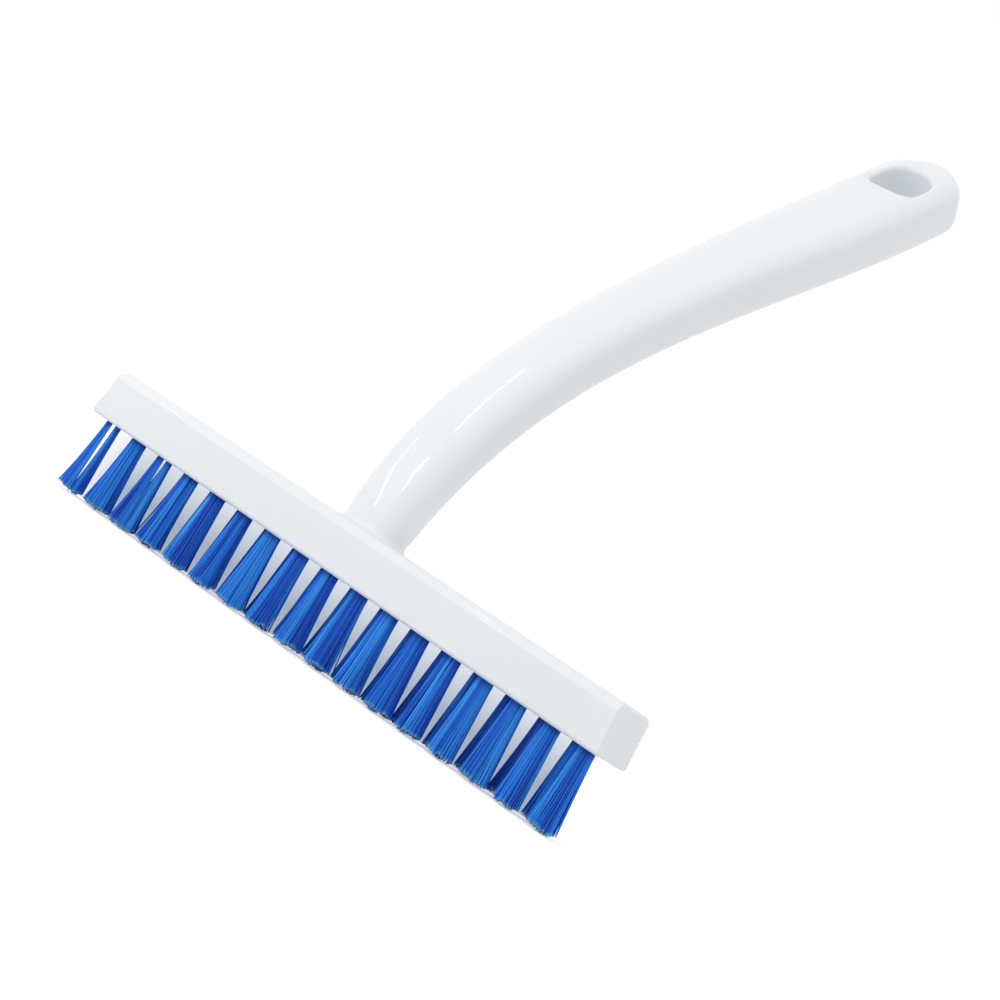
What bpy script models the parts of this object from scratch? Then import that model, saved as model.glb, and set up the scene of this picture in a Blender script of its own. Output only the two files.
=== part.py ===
"""Window screen brush: a swept handle with a hanging eye on a long bar of bristle tufts.

Metres, +Z up. The bar lies along X, its front face looks along -Y and the tufts hang down -Z.
The origin is the middle of the bar's underside.
"""
import math

import bmesh
import bpy
from mathutils import Matrix, Vector

# Bar
bar_length = 0.170
bar_depth = 0.0164
bar_height = 0.0127
bar_end_lean = 0.0016
bar_front_round = 0.0028
bar_back_round = 0.0016
bar_end_round = 0.0012
bar_bottom_round = 0.0010
bar_upright_round = 0.0006
bar_round_steps = 5

# Handle centreline, in the plane across the middle of the bar
handle_setback = 0.0021
handle_start_depth = 0.0010
handle_rise = 0.0581
handle_end_back = 0.1377
handle_end_up = 0.1813
handle_end_lean = math.radians(45.2)
handle_approach = 0.0913
handle_stations = 30

# Handle sections, soft rectangles from the bar to the rounded end
handle_root_width = 0.0164
handle_lower_width = 0.0196
handle_middle_width = 0.0214
handle_upper_width = 0.0259
handle_end_width = 0.0276
handle_root_thickness = 0.0119
handle_middle_thickness = 0.0143
handle_end_thickness = 0.0170
root_fullness = 2.8
middle_fullness = 3.0
end_fullness = 3.4
profile_steps = 16
handle_tip_reach = 0.0133
tip_fullness = 1.5
handle_tip_steps = 22
root_sink = 0.0040
root_fillet = 0.0018
root_fillet_steps = 4
root_fillet_dip = 0.0003

# Hanging eye, measured along the handle from the middle of its rounded end
eye_width_share = 0.541
eye_far_reach = -0.0004
eye_near_reach = 0.0171
eye_far_round_share = 0.97
eye_near_round_share = 0.56
eye_rim_share = 0.24
eye_rim_steps = 5
eye_rim_turn = math.radians(80.0)
eye_rim_lift = 0.00006
eye_corner_steps = 7

# Tufts
front_tuft_count = 17
rear_tuft_count = 16
tuft_pitch = bar_length / front_tuft_count
front_row_back = -0.0033
rear_row_back = 0.0026
tuft_trim = 0.0202
plug_radius = 0.0019
hole_depth = 0.0090
plug_sides = 16
hole_sides = 24
strand_radius = 0.00036
strand_bury = 0.0006
strand_column_step = 0.00080
strand_step = 0.00090
strand_split = 0.00044
flare_left_share = 2.10
flare_right_share = 1.85
flare_depth_share = 1.70

# The fold at a tuft's root and the flat plate that anchors it
fold_width = 0.0009
fold_depth = 0.0026
anchor_thickness = 0.0004
anchor_width = 0.0036
anchor_height = 0.0020
anchor_bite = 0.0002

# Fits
hole_clearance = 0.0003
cutter_reach = 0.0010
weld_distance = 0.00001
smooth_angle = math.radians(32.0)


def clear_scene():
    """Remove whatever the new file holds."""
    for thing in list(bpy.data.objects):
        bpy.data.objects.remove(thing, do_unlink=True)


def make_collection(name):
    """A collection linked to the scene."""
    group = bpy.data.collections.new(name)
    bpy.context.scene.collection.children.link(group)
    return group


def make_material(name, colour, roughness, metallic):
    """One Principled material."""
    material = bpy.data.materials.new(name)
    material.use_nodes = True
    shader = material.node_tree.nodes["Principled BSDF"]
    shader.inputs["Base Color"].default_value = (*colour, 1.0)
    shader.inputs["Roughness"].default_value = roughness
    shader.inputs["Metallic"].default_value = metallic
    material.diffuse_color = (*colour, 1.0)
    return material


def finish_object(name, bm, group, material):
    """Turn a bmesh into a named, smooth-shaded object of its own."""
    bmesh.ops.recalc_face_normals(bm, faces=bm.faces)
    mesh = bpy.data.meshes.new(name)
    bm.to_mesh(mesh)
    bm.free()
    mesh.shade_smooth()
    mesh.set_sharp_from_angle(angle=smooth_angle)
    if material is not None:
        mesh.materials.append(material)
    thing = bpy.data.objects.new(name, mesh)
    group.objects.link(thing)
    return thing


def as_cutter(thing):
    """Mark an object that only shapes another one."""
    thing.hide_render = True
    thing.display_type = "WIRE"
    return thing


def add_boolean(thing, other, operation):
    """One exact Boolean between closed bodies."""
    modifier = thing.modifiers.new(operation.lower(), "BOOLEAN")
    modifier.operation = operation
    modifier.solver = "EXACT"
    modifier.object = other
    return modifier


def add_weld(thing):
    """Close the joins a Boolean leaves."""
    modifier = thing.modifiers.new("weld", "WELD")
    modifier.merge_threshold = weld_distance


def bar_edge_round(edge):
    """The rounding of one edge of the bar: generous in front on top, small below and at the ends."""
    first, second = (corner.co for corner in edge.verts)
    if first.z != second.z:
        return bar_upright_round
    if first.z < bar_height / 2:
        return bar_bottom_round
    if first.y != second.y:
        return bar_end_round
    if first.y < 0.0:
        return bar_front_round
    return bar_back_round


def build_bar(group, material):
    """The bar: a block whose end faces lean in towards the top, with every edge rounded."""
    bm = bmesh.new()
    size = Matrix.Diagonal((bar_length, bar_depth, bar_height, 1.0))
    lift = Matrix.Translation((0.0, 0.0, bar_height / 2))
    bmesh.ops.create_cube(bm, size=1.0, matrix=lift @ size)
    for corner in bm.verts:
        if corner.co.z > bar_height / 2:
            corner.co.x -= math.copysign(bar_end_lean, corner.co.x)
    weights = bm.edges.layers.float.new("bevel_weight_edge")
    for edge in bm.edges:
        edge[weights] = bar_edge_round(edge) / bar_front_round
    thing = finish_object("brush_body", bm, group, material)
    rounding = thing.modifiers.new("edges", "BEVEL")
    rounding.limit_method = "WEIGHT"
    rounding.width = bar_front_round
    rounding.segments = bar_round_steps
    return thing


def end_direction():
    """The handle's direction where it meets its rounded end."""
    return Vector((0.0, math.sin(handle_end_lean), math.cos(handle_end_lean)))


def end_normal():
    """The outward direction of the broad front face round the eye."""
    return Vector((0.0, -math.cos(handle_end_lean), math.sin(handle_end_lean)))


def end_centre():
    """The middle of the handle's rounded end, where the sweep stops."""
    return Vector((0.0, handle_end_back, handle_end_up))


def sweep_point(share):
    """A point of the swept centreline and its direction, as a share of the whole sweep."""
    start = Vector((0.0, handle_setback, bar_height - handle_start_depth))
    rise = start + Vector((0.0, 0.0, handle_rise))
    end = end_centre()
    approach = end - end_direction() * handle_approach
    left = 1.0 - share
    point = start * left**3 + rise * (3 * left**2 * share)
    point += approach * (3 * left * share**2) + end * share**3
    along = (rise - start) * left**2 + (approach - rise) * (2 * left * share)
    along += (end - approach) * share**2
    return point, along.normalized()


def smooth_size(sizes, share):
    """The value at a share of the way, on the smooth curve through evenly spaced sizes."""
    last = len(sizes) - 1
    total = 0.0
    for index, size in enumerate(sizes):
        weight = 1.0
        for other in range(len(sizes)):
            if other != index:
                weight *= (share * last - other) / (index - other)
        total += size * weight
    return total


def section_sizes(share):
    """Half width, half thickness and fullness of the handle's section at a share of the sweep."""
    width = smooth_size((handle_root_width, handle_lower_width, handle_middle_width,
                         handle_upper_width, handle_end_width), share)
    thickness = smooth_size((handle_root_thickness, handle_middle_thickness,
                             handle_end_thickness), share)
    fullness = smooth_size((root_fullness, middle_fullness, end_fullness), share)
    return width / 2, thickness / 2, fullness


def soft_turn(turn, fullness):
    """A point of a soft unit square: an ellipse's point pushed out towards the corners."""
    return tuple(math.copysign(abs(part) ** (2 / fullness), part)
                 for part in (math.cos(turn), math.sin(turn)))


def half_profile(half_width, half_thickness, fullness):
    """Right half of a section, from the middle of its front to the middle of its back."""
    points = []
    for step in range(profile_steps + 1):
        up, across = soft_turn(math.pi * step / profile_steps, fullness)
        points.append((half_width * across, half_thickness * up))
    return points


def section_ring(centre, along, half_width, front, back, fullness):
    """A whole section of the handle, with its own reach to the front and to the back."""
    normal = Vector((0.0, -along.z, along.y))
    middle = centre + normal * ((front - back) / 2)
    right = half_profile(half_width, (front + back) / 2, fullness)
    left = [(-across, up) for across, up in reversed(right[1:-1])]
    return [middle + Vector((across, 0.0, 0.0)) + normal * up for across, up in right + left]


def fillet_rings():
    """Sections that flare out where the handle grows from the top of the bar."""
    rings = []
    floor = Vector((0.0, handle_setback, bar_height))
    upright = Vector((0.0, 0.0, 1.0))
    half_width, reach, fullness = section_sizes(0.0)
    sunk = floor - upright * root_sink
    rings.append(section_ring(sunk, upright, half_width + root_fillet, reach + root_fillet,
                              reach, fullness))
    for step in range(root_fillet_steps + 1):
        turn = math.pi / 2 * (1 - step / root_fillet_steps)
        grow = root_fillet * (1 - math.cos(turn))
        height = root_fillet * (1 - math.sin(turn))
        if step == 0:
            height = -root_fillet_dip
        centre = floor + upright * height
        rings.append(section_ring(centre, upright, half_width + grow, reach + grow, reach,
                                  fullness))
    return rings


def handle_rings():
    """Every section of the handle from inside the bar to the middle of its rounded end."""
    rings = fillet_rings()
    clear_height = bar_height + root_fillet
    for station in range(1, handle_stations + 1):
        share = station / handle_stations
        point, along = sweep_point(share)
        if point.z < clear_height + root_fillet:
            continue
        half_width, half_thickness, fullness = section_sizes(share)
        rings.append(section_ring(point, along, half_width, half_thickness, half_thickness,
                                  fullness))
    return rings


def build_handle(group, eye):
    """The swept handle as a loft of its sections, with a rounded end and the eye cut through."""
    bm = bmesh.new()
    rings = [[bm.verts.new(point) for point in ring] for ring in handle_rings()]
    count = len(rings[0])
    bm.faces.new(rings[0])
    for low, high in zip(rings, rings[1:]):
        for index in range(count):
            following = (index + 1) % count
            bm.faces.new((low[index], low[following], high[following], high[index]))
    close_end(bm, rings[-1])
    thing = as_cutter(finish_object("join_handle", bm, group, None))
    add_boolean(thing, eye, "DIFFERENCE")
    return thing


def close_end(bm, last_ring):
    """Turn the right half of the last section round the end until it meets the left half."""
    half_width, half_thickness, fullness = section_sizes(1.0)
    profile = half_profile(half_width, half_thickness, fullness)
    size = len(profile)
    front, back = last_ring[0], last_ring[size - 1]
    previous = last_ring[1:size - 1]
    left_half = list(reversed(last_ring[size:]))
    for step in range(1, handle_tip_steps + 1):
        sideways, onward = soft_turn(math.pi * step / handle_tip_steps, tip_fullness)
        outward = Vector((sideways, 0.0, 0.0))
        outward += end_direction() * (onward * handle_tip_reach / half_width)
        if step < handle_tip_steps:
            current = [bm.verts.new(end_centre() + outward * across + end_normal() * up)
                       for across, up in profile[1:-1]]
        else:
            current = left_half
        bm.faces.new((front, previous[0], current[0]))
        bm.faces.new((back, current[-1], previous[-1]))
        for index in range(size - 3):
            bm.faces.new((previous[index], previous[index + 1], current[index + 1], current[index]))
        previous = current


def sizes_beside(along):
    """The handle's half width, half thickness and fullness at a distance along it near the eye."""
    return section_sizes(min(1.0, 1.0 + along / (3 * handle_approach)))


def eye_sizes():
    """The eye's half width and the rounding of its rims, in step with the handle beside it."""
    handle_half_width, half_thickness, fullness = sizes_beside((eye_far_reach - eye_near_reach) / 2)
    half_width = handle_half_width * eye_width_share
    return half_width, (handle_half_width - half_width) * eye_rim_share


def face_height(across, along):
    """Height of the handle's broad face above its middle plane, at a place near the eye."""
    half_width, half_thickness, fullness = sizes_beside(along)
    reach = abs(across)
    if along > 0.0:
        onward = (along / handle_tip_reach) ** tip_fullness
        reach = half_width * ((reach / half_width) ** tip_fullness + onward) ** (1 / tip_fullness)
    profile = half_profile(half_width, half_thickness, fullness)
    for (near, high), (far, low) in zip(profile, profile[1:]):
        if near <= reach <= far:
            return high + (low - high) * (reach - near) / (far - near)
    return 0.0


def eye_outline(grow):
    """The eye's outline, across the handle and along it, grown outwards by a given amount."""
    half_width, rim_round = eye_sizes()
    corners = (
        (1, -1, eye_near_reach, eye_near_round_share),
        (1, 1, eye_far_reach, eye_far_round_share),
        (-1, 1, eye_far_reach, eye_far_round_share),
        (-1, -1, eye_near_reach, eye_near_round_share),
    )
    starts = (-math.pi / 2, 0.0, math.pi / 2, math.pi)
    points = []
    for (side, end, reach, round_share), start in zip(corners, starts):
        radius = half_width * round_share
        centre_across = side * (half_width - radius)
        centre_along = end * (reach - radius)
        radius += grow
        for step in range(eye_corner_steps + 1):
            turn = start + math.pi / 2 * step / eye_corner_steps
            points.append((centre_across + radius * math.cos(turn),
                           centre_along + radius * math.sin(turn)))
    return points


def eye_ring(side, grow, depth):
    """One ring of the eye's wall, a given depth below the front or the back face."""
    return [end_centre() + Vector((across, 0.0, 0.0)) + end_direction() * along
            + end_normal() * (side * (face_height(across, along) - depth))
            for across, along in eye_outline(grow)]


def eye_rings():
    """The eye's wall from beyond the back face to beyond the front face, with rounded rims."""
    half_width, rim_round = eye_sizes()
    mouth_grow = rim_round * (1 - math.cos(eye_rim_turn))
    mouth_depth = rim_round * (1 - math.sin(eye_rim_turn))
    mouth_grow += (mouth_depth + eye_rim_lift) * math.tan(eye_rim_turn)
    rings = []
    for side in (-1, 1):
        wall = []
        for step in range(eye_rim_steps + 1):
            turn = eye_rim_turn * step / eye_rim_steps
            wall.append(eye_ring(side, rim_round * (1 - math.cos(turn)),
                                 rim_round * (1 - math.sin(turn))))
        wall.append(eye_ring(side, mouth_grow, -eye_rim_lift))
        wall.append(eye_ring(side, mouth_grow, -cutter_reach))
        rings += wall if side > 0 else list(reversed(wall))
    return rings


def build_eye_cutter(group):
    """A plug in the shape of the eye that flares at both faces to leave rounded rims."""
    bm = bmesh.new()
    rings = [[bm.verts.new(point) for point in ring] for ring in eye_rings()]
    count = len(rings[0])
    for low, high in zip(rings, rings[1:]):
        for index in range(count):
            following = (index + 1) % count
            bm.faces.new((low[index], low[following], high[following], high[index]))
    for ring in (rings[0], rings[-1]):
        centre = bm.verts.new(sum((corner.co for corner in ring), Vector()) / count)
        for index in range(count):
            bm.faces.new((ring[index], ring[(index + 1) % count], centre))
    return as_cutter(finish_object("cut_eye", bm, group, None))


def row_places(count, back):
    """The tuft centres of one row, spaced evenly about the middle of the bar."""
    first = -tuft_pitch * (count - 1) / 2
    return [Vector((first + tuft_pitch * index, back, 0.0)) for index in range(count)]


def all_places():
    """The tuft centres of both rows."""
    return (row_places(front_tuft_count, front_row_back)
            + row_places(rear_tuft_count, rear_row_back))


def build_hole_cutter(group):
    """The blind holes for both rows of tufts, as separate pins in one cutter."""
    bm = bmesh.new()
    depth = hole_depth + cutter_reach
    for place in all_places():
        centre = place + Vector((0.0, 0.0, hole_depth - depth / 2))
        bmesh.ops.create_cone(bm, cap_ends=True, segments=hole_sides, depth=depth,
                              radius1=plug_radius + hole_clearance,
                              radius2=plug_radius + hole_clearance,
                              matrix=Matrix.Translation(centre))
    return as_cutter(finish_object("cut_tuft_holes", bm, group, None))


def strand_roots():
    """Where the strands of one tuft start: two folded halves with a slit between them."""
    roots = []
    for side in (-1, 1):
        for column, count in enumerate((4, 3)):
            across = side * (strand_split + strand_column_step * column)
            for index in range(count):
                roots.append((across, strand_step * (index - (count - 1) / 2)))
    return roots


def strand_body(bm, root, tip):
    """A straight three-sided strand that leans from its root to its level, trimmed tip."""
    length = tuft_trim + strand_bury
    made = bmesh.ops.create_cone(bm, cap_ends=True, segments=3, radius1=strand_radius,
                                 radius2=strand_radius, depth=length)
    for corner in made["verts"]:
        is_tip = corner.co.z < 0.0
        place = tip if is_tip else root
        corner.co.x += place[0]
        corner.co.y += place[1]
        corner.co.z = -tuft_trim if is_tip else strand_bury


def plug_top():
    """The height of a plug's folded end above the bar's underside."""
    return hole_depth - hole_clearance


def build_plug(group, name, material):
    """The bundled root of a tuft."""
    bm = bmesh.new()
    bmesh.ops.create_cone(bm, cap_ends=True, segments=plug_sides, depth=plug_top(),
                          radius1=plug_radius, radius2=plug_radius,
                          matrix=Matrix.Translation((0.0, 0.0, plug_top() / 2)))
    return finish_object(name, bm, group, material)


def build_block(group, name, size, floor):
    """A helper block centred on the tuft, standing on a given height."""
    stretch = Matrix.Diagonal((*size, 1.0))
    lift = Matrix.Translation((0.0, 0.0, floor + size[2] / 2))
    bm = bmesh.new()
    bmesh.ops.create_cube(bm, size=1.0, matrix=lift @ stretch)
    return as_cutter(finish_object(name, bm, group, None))


def build_fold(group):
    """The groove across a plug where the filament folds, and the flat plate that lies in it."""
    floor = plug_top() - fold_depth
    groove_size = (fold_width, 2 * plug_radius + 2 * cutter_reach, fold_depth + cutter_reach)
    groove = build_block(group, "cut_fold", groove_size, floor)
    plate_size = (anchor_thickness, anchor_width, anchor_height)
    plate = build_block(group, "join_anchor", plate_size, floor - anchor_bite)
    return groove, plate


def build_strands(group, name, flare):
    """All strands of a tuft, flaring from the plug to the trim level without crossing."""
    bm = bmesh.new()
    for across, back in strand_roots():
        strand_body(bm, (across, back), (across * flare, back * flare_depth_share))
    return as_cutter(finish_object(name, bm, group, None))


def copy_to(thing, group, place):
    """A helper moved to one tuft."""
    other = thing.copy()
    other.location = place
    group.objects.link(other)
    return other


def build_tuft(name, place, groups, material, fold):
    """One tuft: plug, anchor plate and strands as a single body, set into its hole."""
    part_group, cutter_group = groups
    share = (place.x + bar_length / 2) / bar_length
    flare = flare_left_share + (flare_right_share - flare_left_share) * share
    strands = build_strands(cutter_group, "join_" + name, flare)
    strands.location = place
    tuft = build_plug(part_group, name, material)
    tuft.location = place
    groove, plate = (copy_to(helper, cutter_group, place) for helper in fold)
    add_boolean(tuft, groove, "DIFFERENCE")
    add_boolean(tuft, plate, "UNION")
    add_boolean(tuft, strands, "UNION")
    return tuft


def build_tufts(groups, material):
    """Both rows of tufts."""
    fold = build_fold(groups[1])
    rows = (("tuft_front_", front_tuft_count, front_row_back),
            ("tuft_rear_", rear_tuft_count, rear_row_back))
    for stem, count, back in rows:
        for index, place in enumerate(row_places(count, back)):
            build_tuft(stem + str(index + 1).zfill(2), place, groups, material, fold)


def build_body(groups, material):
    """The moulded body: bar and handle in one piece, with the tuft holes cut into the bar."""
    part_group, cutter_group = groups
    eye = build_eye_cutter(cutter_group)
    handle = build_handle(cutter_group, eye)
    holes = build_hole_cutter(cutter_group)
    body = build_bar(part_group, material)
    add_boolean(body, handle, "UNION")
    add_boolean(body, holes, "DIFFERENCE")
    add_weld(body)
    return body


def main():
    """Build every piece of the brush."""
    clear_scene()
    groups = (make_collection("window_screen_brush"), make_collection("cutters"))
    white = make_material("white_polypropylene", (0.86, 0.88, 0.89), 0.32, 0.0)
    blue = make_material("blue_filament", (0.03, 0.19, 0.62), 0.42, 0.0)
    build_body(groups, white)
    build_tufts(groups, blue)


main()
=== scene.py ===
# %% [markdown]
# # A window screen brush
# The brush is one white moulding, a bar with a swept handle and a hanging eye, and 33 tufts of
# blue filament in two staggered rows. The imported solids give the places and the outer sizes. This
# lesson gives them their surface: a smooth moulded skin, and tufts of many fine filaments that are
# grown with Geometry Nodes. First comes the frame, and the box that the dressed model has to stay
# in.

import math

import bmesh
import bpy
from mathutils import Matrix, Vector


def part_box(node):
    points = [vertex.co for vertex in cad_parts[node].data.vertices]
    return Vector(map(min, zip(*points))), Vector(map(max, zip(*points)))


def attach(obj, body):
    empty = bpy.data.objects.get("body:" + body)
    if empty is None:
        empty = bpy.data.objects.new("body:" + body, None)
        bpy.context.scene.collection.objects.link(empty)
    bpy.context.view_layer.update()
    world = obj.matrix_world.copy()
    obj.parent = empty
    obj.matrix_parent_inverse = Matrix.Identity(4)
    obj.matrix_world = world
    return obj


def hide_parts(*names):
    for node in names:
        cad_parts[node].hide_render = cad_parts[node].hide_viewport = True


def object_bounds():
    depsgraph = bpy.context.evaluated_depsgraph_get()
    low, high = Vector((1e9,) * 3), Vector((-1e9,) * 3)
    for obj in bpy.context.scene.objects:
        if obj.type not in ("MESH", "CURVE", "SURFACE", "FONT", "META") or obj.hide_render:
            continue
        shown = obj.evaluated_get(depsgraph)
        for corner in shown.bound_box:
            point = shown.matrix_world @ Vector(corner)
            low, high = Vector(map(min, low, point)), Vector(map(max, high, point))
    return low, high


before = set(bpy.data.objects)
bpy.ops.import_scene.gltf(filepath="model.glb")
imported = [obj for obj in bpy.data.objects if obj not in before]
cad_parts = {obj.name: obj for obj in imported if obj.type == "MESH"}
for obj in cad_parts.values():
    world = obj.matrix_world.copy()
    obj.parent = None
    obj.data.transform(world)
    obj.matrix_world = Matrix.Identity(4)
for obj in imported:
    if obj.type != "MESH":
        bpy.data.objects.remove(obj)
cad_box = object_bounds()
MM = 0.001
print("CAD box in mm:", [[round(value / MM, 1) for value in corner] for corner in cad_box])

# %% [markdown]
# Every material and every Geometry Nodes tree is built from nodes. One helper adds a node, sets
# its properties and fills its inputs. An input takes a value, a socket to link, or another node,
# which then stands for the first of its outputs that is in use.
# Colours are written as the hex values a painter would pick, and one function turns them linear.

# %% Helpers for nodes and colours
def put(tree, kind, inputs=None, **settings):
    """Add a node to a tree, with its settings, its values and its links."""
    node = tree.nodes.new(kind)
    for name, value in settings.items():
        setattr(node, name, value)
    for key, value in (inputs or {}).items():
        if isinstance(value, bpy.types.Node):
            value = next(output for output in value.outputs if output.enabled)
        if isinstance(value, bpy.types.NodeSocket):
            tree.links.new(value, node.inputs[key])
        else:
            node.inputs[key].default_value = value
    return node


def linear(hex_colour):
    """An sRGB hex colour as linear RGBA."""
    parts = [int(hex_colour[index:index + 2], 16) / 255 for index in (1, 3, 5)]
    return (*[part / 12.92 if part <= 0.04045 else ((part + 0.055) / 1.055) ** 2.4
              for part in parts], 1.0)


def new_material(name):
    """An empty material with its output, and the tree to fill."""
    material = bpy.data.materials.new(name)
    material.use_nodes = True
    material.node_tree.nodes.clear()
    return material, material.node_tree


print("Helpers ready:", put.__name__, linear.__name__, new_material.__name__)

# %% [markdown]
# The body is injection-moulded polypropylene: white with a cool cast, semi-gloss, slightly
# translucent, with the faint unevenness of a polished mould. It has no grain, so the colour hardly
# varies: a broad cloud of half a shade, a fine mottle in the gloss, and a bump of hundredths of
# a millimetre. The pattern's scale is one over its size, because Object coordinates are in metres.
# A thin glossier skin, where the melt met the polished steel, carries the crisp highlights. It is
# strong on the handle, which a hand likes smooth, and weak on the bar, whose mould is left duller.

# %% Moulded white polypropylene
cloud_size = 28 * MM
mottle_size = 1.6 * MM
mottle_depth = 0.02 * MM
bar_gloss, handle_gloss = 0.15, 0.5
gloss_heights = (14 * MM, 22 * MM)

white, tree = new_material("white_polypropylene_injection_moulded")
place = put(tree, "ShaderNodeTexCoord").outputs["Object"]
cloud = put(tree, "ShaderNodeTexNoise", {"Vector": place, "Scale": 1 / cloud_size, "Detail": 2.0})
shade = put(tree, "ShaderNodeMix", {"Factor": cloud, 6: linear("#E5EAEC"), 7: linear("#EAEDF0")},
            data_type="RGBA")
mottle = put(tree, "ShaderNodeTexNoise", {"Vector": place, "Scale": 1 / mottle_size,
                                          "Detail": 3.0})
roughness = put(tree, "ShaderNodeMapRange", {"Value": mottle, "To Min": 0.32, "To Max": 0.42})
relief = put(tree, "ShaderNodeBump", {"Height": mottle, "Strength": 0.10,
                                      "Distance": mottle_depth})
height = put(tree, "ShaderNodeSeparateXYZ", {"Vector": place}).outputs["Z"]
glossy_skin = put(tree, "ShaderNodeMapRange", {
    "Value": height, "From Min": gloss_heights[0], "From Max": gloss_heights[1],
    "To Min": bar_gloss, "To Max": handle_gloss}, interpolation_type="SMOOTHSTEP")
skin = put(tree, "ShaderNodeBsdfPrincipled", {
    "Base Color": shade, "Roughness": roughness, "IOR": 1.49, "Normal": relief,
    "Subsurface Weight": 0.08, "Subsurface Radius": (1.0, 1.0, 1.0),
    "Subsurface Scale": 1.2 * MM,
    "Coat Weight": glossy_skin, "Coat Roughness": 0.04, "Coat IOR": 1.49})
put(tree, "ShaderNodeOutputMaterial", {"Surface": skin})
print("White:", white.name, "with", len(tree.nodes), "nodes")

# %% [markdown]
# The filament is extruded polypropylene, dyed blue and drawn, with a satin sheen along its length.
# Its Geometry Nodes tree stores three attributes on each filament: a tint, which is the same for
# neighbours and so gives the broad streaks of a real tuft, how far along the filament a point
# lies, and the direction out of the bundle.
#
# The tint picks the dye from a ramp. Just below the bar the colour is darkened towards navy:
# painted shade for the little light that gets into the crowded mouth of a hole. The cut tips are
# turned a pale cyan: a painted highlight for the light that travelled inside the filament and
# leaves it there.
#
# Filaments lie so close that light sees the bundle rather than each thread. So where a filament's
# surface faces out of the bundle, its shading normal leans towards that outward direction. The
# sides that face into the bundle keep their own normal, or they would light up the dark gaps
# between the filaments.

# %% Blue drawn filament
dye_stops = ((0.0, "#1148C0"), (0.45, "#1D72EA"), (0.75, "#2B8FF8"), (1.0, "#40A8FF"))
mouth_shade_span, mouth_shade_strength = (0.06, 0.17), 0.75
tip_start, tip_light_strength = 0.965, 0.8
bundle_share = 0.72
bundle_turns = (-0.3, 0.4)

blue, tree = new_material("blue_polypropylene_drawn_filament")
tint = put(tree, "ShaderNodeAttribute", attribute_name="tint").outputs["Fac"]
along = put(tree, "ShaderNodeAttribute", attribute_name="along").outputs["Fac"]
outward = put(tree, "ShaderNodeAttribute", attribute_name="outward").outputs["Vector"]
dyed = put(tree, "ShaderNodeValToRGB", {"Fac": tint})
for stop, (position, colour) in enumerate(dye_stops):
    if stop > 1:
        dyed.color_ramp.elements.new(position)
    dyed.color_ramp.elements[stop].position = position
    dyed.color_ramp.elements[stop].color = linear(colour)
# Painted shade: the dye darkens towards navy just below the bar.
mouth_painted_shade = put(tree, "ShaderNodeMapRange", {
    "Value": along, "From Min": mouth_shade_span[0], "From Max": mouth_shade_span[1],
    "To Min": mouth_shade_strength, "To Max": 0.0}, interpolation_type="SMOOTHSTEP")
shaded = put(tree, "ShaderNodeMix", {"Factor": mouth_painted_shade, 6: dyed, 7: linear("#0A2470")},
             data_type="RGBA")
# Painted highlight: the tips turn pale cyan.
tip_painted_light = put(tree, "ShaderNodeMapRange", {"Value": along, "From Min": tip_start,
                                             "To Max": tip_light_strength})
with_tip_light = put(tree, "ShaderNodeMix", {"Factor": tip_painted_light, 6: shaded, 7: linear("#7CCBF6")},
             data_type="RGBA")
own_normal = put(tree, "ShaderNodeNewGeometry").outputs["Normal"]
turned_out = put(tree, "ShaderNodeVectorMath", {0: own_normal, 1: outward},
                 operation="DOT_PRODUCT")
leaning_share = put(tree, "ShaderNodeMapRange", {
    "Value": turned_out, "From Min": bundle_turns[0], "From Max": bundle_turns[1],
    "To Max": bundle_share})
leaning = put(tree, "ShaderNodeMix", {"Factor": leaning_share, 4: own_normal, 5: outward},
              data_type="VECTOR")
shading = put(tree, "ShaderNodeVectorMath", {0: leaning}, operation="NORMALIZE")
satin = put(tree, "ShaderNodeBsdfPrincipled", {"Base Color": with_tip_light, "Roughness": 0.45,
                                               "IOR": 1.49, "Specular IOR Level": 0.3,
                                               "Normal": shading})
put(tree, "ShaderNodeOutputMaterial", {"Surface": satin})
print("Blue:", blue.name, "with", len(tree.nodes), "nodes")

# %% [markdown]
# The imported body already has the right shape, but a solid arrives as loose triangles. A copy is
# merged, its flat faces are joined up, and it is shaded smooth across the gentle turns while the
# crisp rims stay sharp. Weighted normals keep the flats flat beside the rounded edges.

# %% The moulded body
weld_reach = 0.002 * MM
flat_turn = math.radians(0.4)
rim_turn = math.radians(34)

skin_mesh = bmesh.new()
skin_mesh.from_mesh(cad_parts["brush_body"].data)
bmesh.ops.remove_doubles(skin_mesh, verts=skin_mesh.verts, dist=weld_reach)
bmesh.ops.dissolve_limit(skin_mesh, angle_limit=flat_turn, verts=skin_mesh.verts,
                         edges=skin_mesh.edges)
body_mesh = bpy.data.meshes.new("moulded_body")
skin_mesh.to_mesh(body_mesh)
skin_mesh.free()
body_mesh.shade_smooth()
body_mesh.set_sharp_from_angle(angle=rim_turn)
body_mesh.materials.append(white)
body = bpy.data.objects.new("moulded_body", body_mesh)
bpy.context.collection.objects.link(body)
evened = body.modifiers.new("even flats", "WEIGHTED_NORMAL")
evened.keep_sharp = True
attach(body, "root")
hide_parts("brush_body")
print("Body faces:", len(body_mesh.polygons))

# %% [markdown]
# A tuft is a bundle of filaments, folded over a metal plate and driven into its hole, so it comes
# out of the bar as two half-round bundles that spread towards the trimmed tips. Modelling filaments
# one by one would be hopeless, so a Geometry Nodes tree grows them: points on a sunflower spiral
# fill the hole evenly, each point gets a straight unit curve, and the curves are then bent.
#
# The tree's inputs are the sizes a brush maker would name. The fold's plane stands across the Fold
# Angle, Fold Shift away from the axis. The slit is Fold Gap wide on either side of the plane, and
# it closes at Fold Reach, a share of the free length. The tips are trimmed level with the bottom
# of the CAD box. Each flare says how much width the tuft gains
# from its root to its tips, as a share of the root's width.

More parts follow.
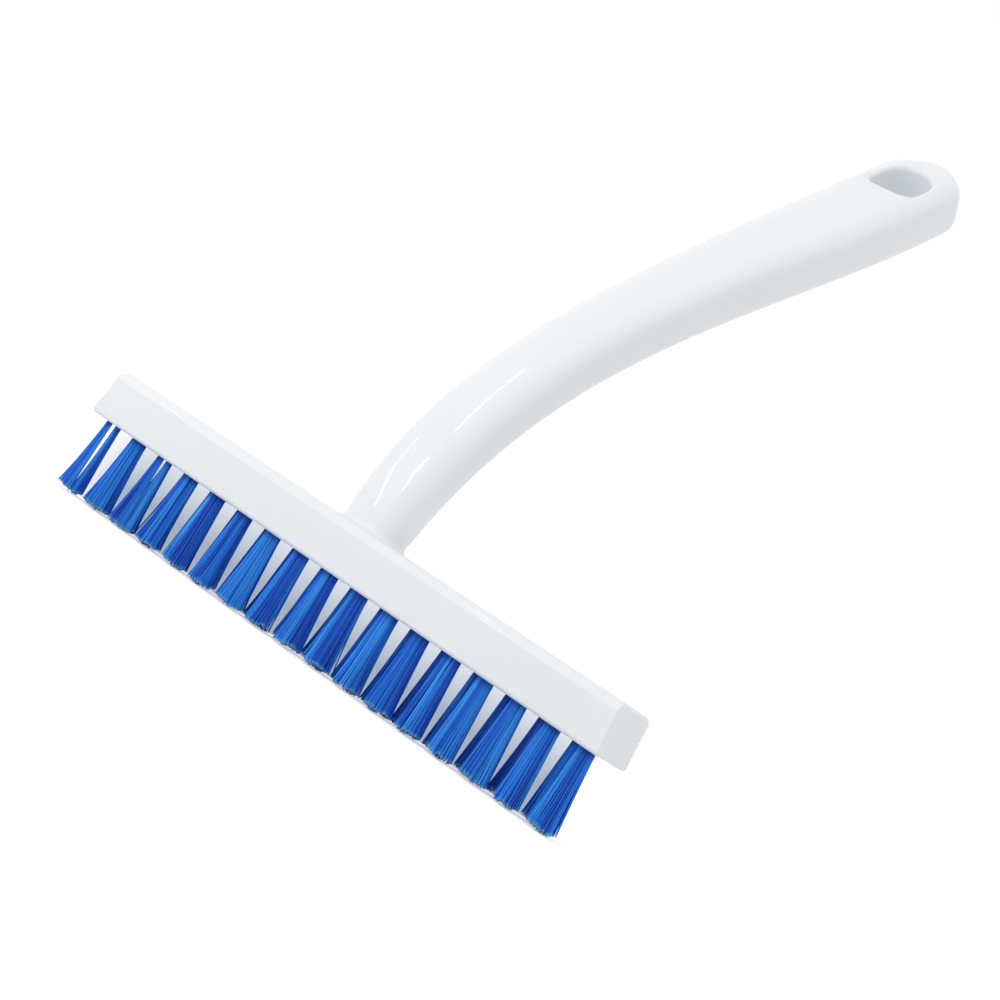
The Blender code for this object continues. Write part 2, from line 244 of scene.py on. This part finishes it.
# %% The tuft tree's inputs
tuft_tree = bpy.data.node_groups.new("filament_tuft", "GeometryNodeTree")
tuft_inputs = {
    "Centre": ("NodeSocketVector", (0.0, 0.0, 0.0)),
    "Filaments": ("NodeSocketInt", 190),
    "Root Radius": ("NodeSocketFloat", 1.9 * MM),
    "Filament Radius": ("NodeSocketFloat", 0.16 * MM),
    "Start Height": ("NodeSocketFloat", 1.5 * MM),
    "Trim Length": ("NodeSocketFloat", -cad_box[0][2]),
    "Flare Across": ("NodeSocketFloat", 0.70),
    "Flare Back": ("NodeSocketFloat", 0.70),
    "Lean Across": ("NodeSocketFloat", 0.0),
    "Fold Angle": ("NodeSocketFloat", 0.5),
    "Fold Shift": ("NodeSocketFloat", 0.0),
    "Fold Gap": ("NodeSocketFloat", 0.12 * MM),
    "Fold Reach": ("NodeSocketFloat", 0.4),
    "Tip Stray": ("NodeSocketFloat", 0.30 * MM),
    "Tip Dome": ("NodeSocketFloat", 0.50 * MM),
    "Tip Unevenness": ("NodeSocketFloat", 0.95 * MM),
    "Tint Shift": ("NodeSocketFloat", 0.0),
    "Seed": ("NodeSocketInt", 1),
}
sockets = {}
for name, (kind, value) in tuft_inputs.items():
    socket = tuft_tree.interface.new_socket(name, in_out="INPUT", socket_type=kind)
    socket.default_value = value
    sockets[name] = socket.identifier
tuft_tree.interface.new_socket("Geometry", in_out="OUTPUT", socket_type="NodeSocketGeometry")
given = put(tuft_tree, "NodeGroupInput").outputs
print("Tuft inputs:", ", ".join(sockets))

# %% [markdown]
# The spiral turns by the golden angle from point to point, and its radius grows with the square
# root of the index, which keeps the spacing even. A little jitter breaks the pattern. Every random
# quantity adds a step of its own to the tuft's seed, so that no two of them run alike.

# %% Roots on a sunflower spiral
golden_angle = math.pi * (3 - math.sqrt(5))
turn_jitter = 0.12
seed_steps = {"turn": 3, "tint": 5, "stray": (11, 12), "length": 31}

index = put(tuft_tree, "GeometryNodeInputIndex")
middle_index = put(tuft_tree, "ShaderNodeMath", {0: index, 1: 0.5}, operation="ADD")
filled = put(tuft_tree, "ShaderNodeMath", {0: middle_index, 1: given["Filaments"]},
             operation="DIVIDE")
outwards = put(tuft_tree, "ShaderNodeMath", {0: filled}, operation="SQRT")
reach = put(tuft_tree, "ShaderNodeMath", {0: outwards, 1: given["Root Radius"]},
            operation="MULTIPLY")
turn_seed = put(tuft_tree, "ShaderNodeMath", {0: given["Seed"], 1: seed_steps["turn"]},
                operation="ADD")
jitter = put(tuft_tree, "FunctionNodeRandomValue", {2: -turn_jitter, 3: turn_jitter,
                                                    "Seed": turn_seed})
turn = put(tuft_tree, "ShaderNodeMath", {0: index, 1: golden_angle, 2: jitter},
           operation="MULTIPLY_ADD")
turn_x = put(tuft_tree, "ShaderNodeMath", {0: turn}, operation="COSINE")
turn_y = put(tuft_tree, "ShaderNodeMath", {0: turn}, operation="SINE")
heading = put(tuft_tree, "ShaderNodeCombineXYZ", {"X": turn_x, "Y": turn_y})
root = put(tuft_tree, "ShaderNodeVectorMath", {0: heading, "Scale": reach}, operation="SCALE")
points = put(tuft_tree, "GeometryNodePoints", {"Count": given["Filaments"], "Position": root})
print("Spiral turn in degrees:", round(math.degrees(golden_angle), 2))

# %% [markdown]
# Each root lies on one side of the fold's plane, at a distance that its place along the fold's
# direction gives. The slit pushes each half towards its own outer side, and pushes least where the
# half already touches the hole's wall, so that the tuft still fills its hole. The direction out of
# the bundle is measured from the middle of that half, which makes two soft lobes in the light.

# %% The two folded halves
lobe_share = 0.42

fold_x = put(tuft_tree, "ShaderNodeMath", {0: given["Fold Angle"]}, operation="COSINE")
fold_y = put(tuft_tree, "ShaderNodeMath", {0: given["Fold Angle"]}, operation="SINE")
fold = put(tuft_tree, "ShaderNodeCombineXYZ", {"X": fold_x, "Y": fold_y})
along_fold = put(tuft_tree, "ShaderNodeVectorMath", {0: root, 1: fold}, operation="DOT_PRODUCT")
from_plane = put(tuft_tree, "ShaderNodeMath", {0: along_fold, 1: given["Fold Shift"]},
                 operation="SUBTRACT")
side = put(tuft_tree, "ShaderNodeMath", {0: from_plane}, operation="SIGN")
distance = put(tuft_tree, "ShaderNodeMath", {0: from_plane}, operation="ABSOLUTE")
squeeze = put(tuft_tree, "ShaderNodeMapRange", {"Value": distance, "To Min": 1.0, "To Max": 0.0,
                                                "From Max": given["Root Radius"]}, clamp=False)
full_push = put(tuft_tree, "ShaderNodeMath", {0: side, 1: given["Fold Gap"]},
                operation="MULTIPLY")
push = put(tuft_tree, "ShaderNodeMath", {0: full_push, 1: squeeze}, operation="MULTIPLY")
side_radius = put(tuft_tree, "ShaderNodeMath", {0: side, 1: given["Root Radius"]},
                  operation="MULTIPLY")
lobe = put(tuft_tree, "ShaderNodeMath", {0: side_radius, 1: lobe_share}, operation="MULTIPLY")
lobe_middle = put(tuft_tree, "ShaderNodeVectorMath", {0: fold, "Scale": lobe}, operation="SCALE")
from_middle = put(tuft_tree, "ShaderNodeVectorMath", {0: root, 1: lobe_middle},
                  operation="SUBTRACT")
outward = put(tuft_tree, "ShaderNodeVectorMath", {0: from_middle}, operation="NORMALIZE")
print("Middle of each half, in radii from the axis:", lobe_share)

# %% [markdown]
# Neighbouring filaments share much of their tint and of their length, because a maker's bundle is
# picked from one hank and cut in clumps. A noise over the root's place gives that likeness, and
# a small random part is added to it. Each tuft and each quantity reads the noise at a height of its
# own. A tuft is also cut to a slight dome, a little shorter round its rim.

# %% Clumps of like filaments
clump_size = 1.5 * MM
layer_gap = 7 * clump_size
noise_span = (0.3, 0.7)
length_spread, tint_spread = 0.16, 0.12


def clumped(seed_step, spread):
    """A value from 0 to 1 that neighbours share, with a random part of its own."""
    seed = put(tuft_tree, "ShaderNodeMath", {0: given["Seed"], 1: seed_step}, operation="ADD")
    layer = put(tuft_tree, "ShaderNodeMath", {0: seed, 1: layer_gap}, operation="MULTIPLY")
    lift = put(tuft_tree, "ShaderNodeCombineXYZ", {"Z": layer})
    lifted = put(tuft_tree, "ShaderNodeVectorMath", {0: root, 1: lift}, operation="ADD")
    noise = put(tuft_tree, "ShaderNodeTexNoise", {"Vector": lifted, "Scale": 1 / clump_size,
                                                  "Detail": 0.0})
    shared = put(tuft_tree, "ShaderNodeMapRange", {"Value": noise, "From Min": noise_span[0],
                                                   "From Max": noise_span[1]})
    own = put(tuft_tree, "FunctionNodeRandomValue", {2: -spread, 3: spread, "Seed": seed})
    return put(tuft_tree, "ShaderNodeMath", {0: shared, 1: own}, operation="ADD")


# The Tint Shift also carries the rear row's painted shade.
tint = put(tuft_tree, "ShaderNodeMath",
           {0: clumped(seed_steps["tint"], tint_spread), 1: given["Tint Shift"]}, operation="ADD")
uneven = put(tuft_tree, "ShaderNodeMath", {0: clumped(seed_steps["length"], length_spread),
                                           1: 0.0}, operation="MAXIMUM")
dome = put(tuft_tree, "ShaderNodeMath", {0: filled, 1: given["Tip Dome"]}, operation="MULTIPLY")
shorter = put(tuft_tree, "ShaderNodeMath", {0: uneven, 1: given["Tip Unevenness"], 2: dome},
              operation="MULTIPLY_ADD")
print("Clumps of", round(clump_size / MM, 1), "mm")

# %% [markdown]
# Each tip strays a little from its bundle, along the bar and across it. Most of them stray by no
# more than one Tip Stray. A high power of the random number hardly counts until the number is close
# to 1, so it makes only a few wild filaments stray about three times as far, as in any used brush.

# %% Stray tips
wild_power = 14
wild_gain = 2.2

strays = []
for seed_step in seed_steps["stray"]:
    seed = put(tuft_tree, "ShaderNodeMath", {0: given["Seed"], 1: seed_step}, operation="ADD")
    drawn = put(tuft_tree, "FunctionNodeRandomValue", {2: -1.0, 3: 1.0, "Seed": seed})
    size = put(tuft_tree, "ShaderNodeMath", {0: drawn}, operation="ABSOLUTE")
    wild = put(tuft_tree, "ShaderNodeMath", {0: size, 1: wild_power}, operation="POWER")
    gain = put(tuft_tree, "ShaderNodeMath", {0: wild, 1: wild_gain, 2: 1.0},
               operation="MULTIPLY_ADD")
    strays.append(put(tuft_tree, "ShaderNodeMath", {0: drawn, 1: gain}, operation="MULTIPLY"))
stray = put(tuft_tree, "ShaderNodeCombineXYZ", {"X": strays[0], "Y": strays[1]})
print("The wildest tips stray", 1 + wild_gain, "times as far")

# %% [markdown]
# All of this is stored on the points, so that each filament carries its own values. Each point then
# gets a straight unit curve of seven points, and the values are read again on the curves.

# %% Store the values, and put a curve on each root
curve_points = 7

stored = points
for name, kind, value in (("root", "FLOAT_VECTOR", root), ("stray", "FLOAT_VECTOR", stray),
                          ("push", "FLOAT", push), ("shorter", "FLOAT", shorter),
                          ("tint", "FLOAT", tint), ("outward", "FLOAT_VECTOR", outward)):
    stored = put(tuft_tree, "GeometryNodeStoreNamedAttribute",
                 {"Geometry": stored, "Name": name, "Value": value}, data_type=kind,
                 domain="POINT")
line = put(tuft_tree, "GeometryNodeCurvePrimitiveLine", {"End": (0.0, 0.0, -1.0)})
stepped = put(tuft_tree, "GeometryNodeResampleCurve", {"Curve": line, "Count": curve_points})
grown = put(tuft_tree, "GeometryNodeInstanceOnPoints", {"Points": stored, "Instance": stepped})
curves = put(tuft_tree, "GeometryNodeRealizeInstances", {"Geometry": grown})
carried = {name: put(tuft_tree, "GeometryNodeInputNamedAttribute", {"Name": name}, data_type=kind)
           for name, kind in (("root", "FLOAT_VECTOR"), ("stray", "FLOAT_VECTOR"),
                              ("push", "FLOAT"), ("shorter", "FLOAT"))}
print("Points on each curve:", curve_points)

# %% [markdown]
# The way along a curve runs from 0 in the hole to 1 at the tip. Inside the hole the bundle stays
# tight. Below the bar it widens in proportion to the free way and may lean along the bar, the slit
# closes, and each tip strays with the square of the way, as a springy filament bends.

# %% Bend the filaments
way = put(tuft_tree, "GeometryNodeSplineParameter").outputs["Factor"]
full_fall = put(tuft_tree, "ShaderNodeMath", {0: given["Start Height"], 1: given["Trim Length"]},
                operation="ADD")
inside = put(tuft_tree, "ShaderNodeMath", {0: given["Start Height"], 1: full_fall},
             operation="DIVIDE")
free = put(tuft_tree, "ShaderNodeMapRange", {"Value": way, "From Min": inside})
closing = put(tuft_tree, "ShaderNodeMapRange", {"Value": free, "From Max": given["Fold Reach"],
                                                "To Min": 1.0, "To Max": 0.0})
rounded = put(tuft_tree, "ShaderNodeMath", {0: closing}, operation="SQRT")
parted = put(tuft_tree, "ShaderNodeMath", {0: carried["push"], 1: rounded}, operation="MULTIPLY")
squared = put(tuft_tree, "ShaderNodeMath", {0: free, 1: free}, operation="MULTIPLY")
bow = put(tuft_tree, "ShaderNodeMath", {0: squared, 1: given["Tip Stray"]}, operation="MULTIPLY")

flare = put(tuft_tree, "ShaderNodeCombineXYZ", {"X": given["Flare Across"],
                                                "Y": given["Flare Back"]})
lean = put(tuft_tree, "ShaderNodeCombineXYZ", {"X": given["Lean Across"]})
widening = put(tuft_tree, "ShaderNodeVectorMath", {0: flare, "Scale": free}, operation="SCALE")
spot = put(tuft_tree, "ShaderNodeVectorMath", {0: carried["root"], 1: widening,
                                               2: carried["root"]}, operation="MULTIPLY_ADD")
for direction, amount in ((lean, free), (fold, parted), (carried["stray"], bow)):
    shift = put(tuft_tree, "ShaderNodeVectorMath", {0: direction, "Scale": amount},
                operation="SCALE")
    spot = put(tuft_tree, "ShaderNodeVectorMath", {0: spot, 1: shift}, operation="ADD")

own_fall = put(tuft_tree, "ShaderNodeMath", {0: full_fall, 1: carried["shorter"]},
               operation="SUBTRACT")
fall = put(tuft_tree, "ShaderNodeMath", {0: own_fall, 1: way}, operation="MULTIPLY")
height = put(tuft_tree, "ShaderNodeMath", {0: given["Start Height"], 1: fall},
             operation="SUBTRACT")
upright = put(tuft_tree, "ShaderNodeCombineXYZ", {"Z": height})
for offset in (upright, given["Centre"]):
    spot = put(tuft_tree, "ShaderNodeVectorMath", {0: spot, 1: offset}, operation="ADD")
bent = put(tuft_tree, "GeometryNodeSetPosition", {"Geometry": curves, "Position": spot})
print("Nodes so far:", len(tuft_tree.nodes))

# %% [markdown]
# A small ring swept along each curve gives the filament its body, with its cut end closed. Real
# filament is round and a third of a millimetre thick. Five sides are enough at this size, and the
# smooth shading rounds them. The tree ends by realising what it made and giving it the blue.

# %% Sweep, realise and colour
ring_sides = 5

marked = put(tuft_tree, "GeometryNodeStoreNamedAttribute",
             {"Geometry": bent, "Name": "along", "Value": way}, data_type="FLOAT", domain="POINT")
ring = put(tuft_tree, "GeometryNodeCurvePrimitiveCircle",
           {"Resolution": ring_sides, "Radius": given["Filament Radius"]}, mode="RADIUS")
swept = put(tuft_tree, "GeometryNodeCurveToMesh", {"Curve": marked, "Profile Curve": ring,
                                                   "Fill Caps": True})
smooth = put(tuft_tree, "GeometryNodeSetShadeSmooth", {"Geometry": swept})
real = put(tuft_tree, "GeometryNodeRealizeInstances", {"Geometry": smooth})
coloured = put(tuft_tree, "GeometryNodeSetMaterial", {"Geometry": real, "Material": blue})
put(tuft_tree, "NodeGroupOutput", {"Geometry": coloured})
print("Tuft tree has", len(tuft_tree.nodes), "nodes")

# %% [markdown]
# Every packed tuft tells where its own filaments go: its solid's box gives the axis. The tree is
# run once for each, with its own seed, flare and fold, and the result is kept as a plain mesh.

# %% Grow the tufts
tuft_names = sorted(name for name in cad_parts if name.startswith("tuft_"))


def grow_tuft(node, settings):
    """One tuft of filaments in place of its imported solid, as a plain mesh."""
    seedling = bpy.data.objects.new("seedling", bpy.data.meshes.new("seedling"))
    grower = seedling.modifiers.new("grow", "NODES")
    grower.node_group = tuft_tree
    for name, value in settings.items():
        grower[sockets[name]] = value
    bpy.context.collection.objects.link(seedling)
    ready = seedling.evaluated_get(bpy.context.evaluated_depsgraph_get())
    mesh = bpy.data.meshes.new_from_object(ready)
    bpy.data.objects.remove(seedling)
    mesh.name = node + "_filaments"
    tuft = bpy.data.objects.new(mesh.name, mesh)
    bpy.context.collection.objects.link(tuft)
    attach(tuft, "root")
    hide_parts(node)
    return tuft


print("Tufts to grow:", len(tuft_names))

# %% [markdown]
# Most tufts show their fold only as a faint seam near the root. The first and the third of the
# front row have opened into a slit, and so has the rear tuft that stands behind the third.
# From left to right the tufts flare less, lean more to the right and turn their fold, and each one
# wanders a little from that rule. The slit tufts and the fourth have a flare or lean of their own.
# The rear row's tint is shifted a touch darker than the front row's: painted shade for the less
# light it gets.

# %% Settings for each tuft
flare_left, flare_right, flare_wander = 1.00, 0.78, 0.12
lean_right, lean_wander = 0.8 * MM, 0.15 * MM
fold_left, fold_right, fold_wander = 38, 28, 16
wander_step = 2.4
# The rear row's darker tint is painted shade.
row_tints_and_painted_shade = {"front": 0.06, "rear": -0.15}
first_seed = 100
seam = {"Fold Gap": 0.12 * MM, "Fold Reach": 0.4, "Fold Shift": 0.0}
own_ways = {
    "tuft_front_01": {"Fold Gap": 0.60 * MM, "Fold Reach": 1.2, "Fold Angle": 41.3,
                      "Flare Across": 0.60, "Lean Across": -0.3 * MM},
    "tuft_front_03": {"Fold Gap": 0.50 * MM, "Fold Reach": 0.50, "Fold Angle": 39.7,
                      "Flare Across": 1.15},
    "tuft_front_04": {"Flare Across": 0.80, "Lean Across": -0.4 * MM},
    "tuft_rear_02": {"Fold Gap": 0.52 * MM, "Fold Reach": 0.55, "Fold Angle": 39.7,
                     "Fold Shift": 0.1 * MM},
}

filament_faces = 0
for number, node in enumerate(tuft_names):
    low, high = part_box(node)
    middle = (Vector(low) + Vector(high)) / 2
    share = (middle.x - cad_box[0][0]) / (cad_box[1][0] - cad_box[0][0])
    wander = math.sin(wander_step * number)
    settings = {
        "Centre": (middle.x, middle.y, 0.0),
        "Flare Across": flare_left + (flare_right - flare_left) * share + flare_wander * wander,
        "Lean Across": lean_right * share + lean_wander * wander,
        "Fold Angle": fold_left + (fold_right - fold_left) * share + fold_wander * wander,
        "Tint Shift": row_tints_and_painted_shade[node.split("_")[1]],
        "Seed": first_seed + number,
    }
    settings.update(seam)
    settings.update(own_ways.get(node, {}))
    settings["Fold Angle"] = math.radians(settings["Fold Angle"])
    tuft = grow_tuft(node, settings)
    filament_faces += len(tuft.data.polygons)
print("Tufts:", len(tuft_names), "with", filament_faces, "faces")

# %% [markdown]
# The brush is photographed on white, tilted, from about the height of its bar. The camera's place
# was worked out from the bar's edges and the even pitch of the tufts: it looks along a direction
# 32 degrees round from the front, and is itself rolled by 34 degrees.

# %% Camera
view_round = math.radians(31.93)
view_up = math.radians(-2.69)
view_roll = math.radians(33.64)
view_distance = 490.3 * MM
view_target = Vector((30.24, -8.2, 34.92)) * MM
sensor_width = 36.0
focal_share = 2.1979

toward = Vector((math.sin(view_round) * math.cos(view_up),
                 -math.cos(view_round) * math.cos(view_up), math.sin(view_up)))
level = Vector((math.cos(view_round), math.sin(view_round), 0.0))
upright = toward.cross(level)
camera_x = level * math.cos(view_roll) + upright * math.sin(view_roll)
camera_y = upright * math.cos(view_roll) - level * math.sin(view_roll)
turned = Matrix((camera_x, camera_y, toward)).transposed().to_4x4()
camera_data = bpy.data.cameras.new("camera")
camera_data.sensor_width = sensor_width
camera_data.lens = focal_share * sensor_width
camera_data.clip_start = 10 * MM
camera = bpy.data.objects.new("camera", camera_data)
camera.matrix_world = Matrix.Translation(view_target + toward * view_distance) @ turned
bpy.context.collection.objects.link(camera)
bpy.context.scene.camera = camera
print("Camera at", [round(value / MM) for value in camera.location], "mm, lens",
      round(camera_data.lens, 1), "mm")

# %% [markdown]
# A plain pale floor lies at the tips of the bristles. It takes the soft shadow of the brush. To the
# camera and to reflections it glows a little as well, which lifts it to white.

# %% Floor
floor_half = 3000 * MM
tip_clearance = 0.05 * MM
floor_level = cad_box[0][2] - tip_clearance
floor_glow = 0.45


def flat_sheet(name, corners, material):
    """A four-cornered sheet of the stage."""
    mesh = bpy.data.meshes.new(name)
    mesh.from_pydata(corners, [], [(0, 1, 2, 3)])
    mesh.materials.append(material)
    sheet = bpy.data.objects.new(name, mesh)
    bpy.context.collection.objects.link(sheet)
    return sheet


def seen_directly(tree):
    """One for camera, mirrored and transmitted rays, and zero for light that spreads."""
    path = put(tree, "ShaderNodeLightPath").outputs
    either = put(tree, "ShaderNodeMath", {0: path["Is Camera Ray"], 1: path["Is Glossy Ray"]},
                 operation="MAXIMUM")
    return put(tree, "ShaderNodeMath", {0: either, 1: path["Is Transmission Ray"]},
               operation="MAXIMUM")


pale, tree = new_material("pale_floor_paint")
lift = put(tree, "ShaderNodeMath", {0: seen_directly(tree), 1: floor_glow}, operation="MULTIPLY")
matt = put(tree, "ShaderNodeBsdfDiffuse", {"Color": linear("#E6E6E8")})
glow = put(tree, "ShaderNodeEmission", {"Strength": lift})
painted = put(tree, "ShaderNodeAddShader", {0: matt, 1: glow})
put(tree, "ShaderNodeOutputMaterial", {"Surface": painted})
floor_corners = [(side_x * floor_half, side_y * floor_half, floor_level)
                 for side_x, side_y in ((-1, -1), (1, -1), (1, 1), (-1, 1))]
flat_sheet("floor", floor_corners, pale)
print("Floor at", round(floor_level / MM, 2), "mm")

# %% [markdown]
# The gaps between the tufts are not left white. They get a painted shade, pale lavender, faint at
# the left end and deeper towards the tips. A glowing strip gives that shade. It stands on the floor
# under the bar, just behind the rear row, and only its front shows, and only to the camera, so it
# takes no light from the tufts and doesn't hide the rear row from behind.

# %% Painted shade behind the bristles
shade_sheet_back = 7.2 * MM
shade_sheet_left, shade_sheet_right = -92 * MM, 80.5 * MM
shade_edges = ((-100 * MM, -70 * MM), (shade_sheet_right, 73 * MM))
deepest = -12 * MM

painted_shade_sheet, tree = new_material("painted_shade_backdrop")
place = put(tree, "ShaderNodeTexCoord").outputs["Object"]
spot = put(tree, "ShaderNodeSeparateXYZ", {"Vector": place}).outputs
behind = put(tree, "ShaderNodeNewGeometry").outputs["Backfacing"]
share = put(tree, "ShaderNodeMath", {0: 1.0, 1: behind}, operation="SUBTRACT")
for clear_at, full_at in shade_edges:
    rising = put(tree, "ShaderNodeMapRange", {"Value": spot["X"], "From Min": clear_at,
                                              "From Max": full_at},
                 interpolation_type="SMOOTHSTEP")
    share = put(tree, "ShaderNodeMath", {0: share, 1: rising}, operation="MULTIPLY")
camera_ray = put(tree, "ShaderNodeLightPath").outputs["Is Camera Ray"]
shown = put(tree, "ShaderNodeMath", {0: share, 1: camera_ray}, operation="MULTIPLY")
depth = put(tree, "ShaderNodeMapRange", {"Value": spot["Z"], "From Min": 0.0,
                                         "From Max": deepest})
# Painted shade: the strip glows pale lavender, deeper towards the tips.
lavender = put(tree, "ShaderNodeMix", {"Factor": depth, 6: linear("#DDE4EC"),
                                       7: linear("#A6B0C3")}, data_type="RGBA")
shade = put(tree, "ShaderNodeEmission", {"Color": lavender, "Strength": 1.0})
clear = put(tree, "ShaderNodeBsdfTransparent")
shown_painted_shade = put(tree, "ShaderNodeMixShader", {0: shown, 1: clear, 2: shade})
put(tree, "ShaderNodeOutputMaterial", {"Surface": shown_painted_shade})
shade_sheet_corners = [(shade_sheet_left, shade_sheet_back, floor_level), (shade_sheet_right, shade_sheet_back, floor_level),
                 (shade_sheet_right, shade_sheet_back, 0.0), (shade_sheet_left, shade_sheet_back, 0.0)]
flat_sheet("painted_shade_sheet", shade_sheet_corners, painted_shade_sheet)
print("Paper from", round(shade_sheet_left / MM, 1), "to", round(shade_sheet_right / MM, 1), "mm")

# %% [markdown]
# The world round the floor is white to the camera and to reflections. As a light it is a shade
# weaker, so that the white plastic shows in its own colour.

# %% World
spread_strength = 0.885

world = bpy.data.worlds.new("studio")
bpy.context.scene.world = world
world.use_nodes = True
tree = world.node_tree
tree.nodes.clear()
strength = put(tree, "ShaderNodeMapRange", {"Value": seen_directly(tree),
                                            "To Min": spread_strength, "To Max": 1.0})
sky = put(tree, "ShaderNodeBackground", {"Color": linear("#FFFFFF"), "Strength": strength})
put(tree, "ShaderNodeOutputWorld", {"Surface": sky})
print("World lights with strength", spread_strength)

# %% [markdown]
# The light is mostly even, with a large weak softbox in front, above and to the left that leaves
# the bar's end, the handle's side and the right side of each tuft a shade darker. It is hidden from
# reflections, or it would show as a white patch on the handle.
#
# Three narrow strips draw the thin highlights on the handle's root. A highlight follows a curved
# surface, so a strip has to bend as well, and it is made of short straight lamps from bend to bend.
# Each bend lies on a line that goes from the camera to one point of the highlight, and on from
# there as a mirror would send it. The power goes with the area, so that all glow alike.

# %% Lights
def stand_lamp(name, position, aim, upward, size, watts):
    """A rectangular lamp that looks at a point, with its tall side along a direction."""
    lamp = bpy.data.lights.new(name, "AREA")
    lamp.shape = "RECTANGLE"
    lamp.size, lamp.size_y = size
    lamp.energy = watts
    holder = bpy.data.objects.new(name, lamp)
    back = (position - aim).normalized()
    across = upward.cross(back).normalized()
    turned = Matrix((across, back.cross(across), back)).transposed().to_4x4()
    holder.matrix_world = Matrix.Translation(position) @ turned
    bpy.context.collection.objects.link(holder)
    return holder


key_side, key_watts = 900 * MM, 1.5
key_place, key_aim = Vector((-550, -750, 750)) * MM, Vector((0, 30, 60)) * MM
key = stand_lamp("key_softbox", key_place, key_aim, Vector((0, 0, 1)), (key_side, key_side),
                 key_watts)
key.visible_glossy = False

strip_glow = 57.0
strips = ((12, ((-348, -481, 122), (-398, -417, 201), (-431, -343, 274), (-422, -317, 320))),
          (20, ((-232, -529, 196), (-266, -494, 248), (-268, -450, 328))),
          (8, ((-268, -379, 419), (-292, -159, 560))))
handle_root = Vector((0, 0, 35)) * MM
for number, (width, bends) in enumerate(strips, start=1):
    for part, ends in enumerate(zip(bends, bends[1:]), start=1):
        bottom, top = (Vector(end) * MM for end in ends)
        size = (width * MM, (top - bottom).length)
        stand_lamp("strip_%d_part_%d" % (number, part), (bottom + top) / 2, handle_root,
                   top - bottom, size, strip_glow * size[0] * size[1])
print("Key softbox watts:", key.data.energy, "and", len(strips), "strips")

# %% [markdown]
# Last, the view transform is set to Standard so that a colour shows as it is written.

# %% Finish
bpy.context.scene.view_settings.view_transform = "Standard"
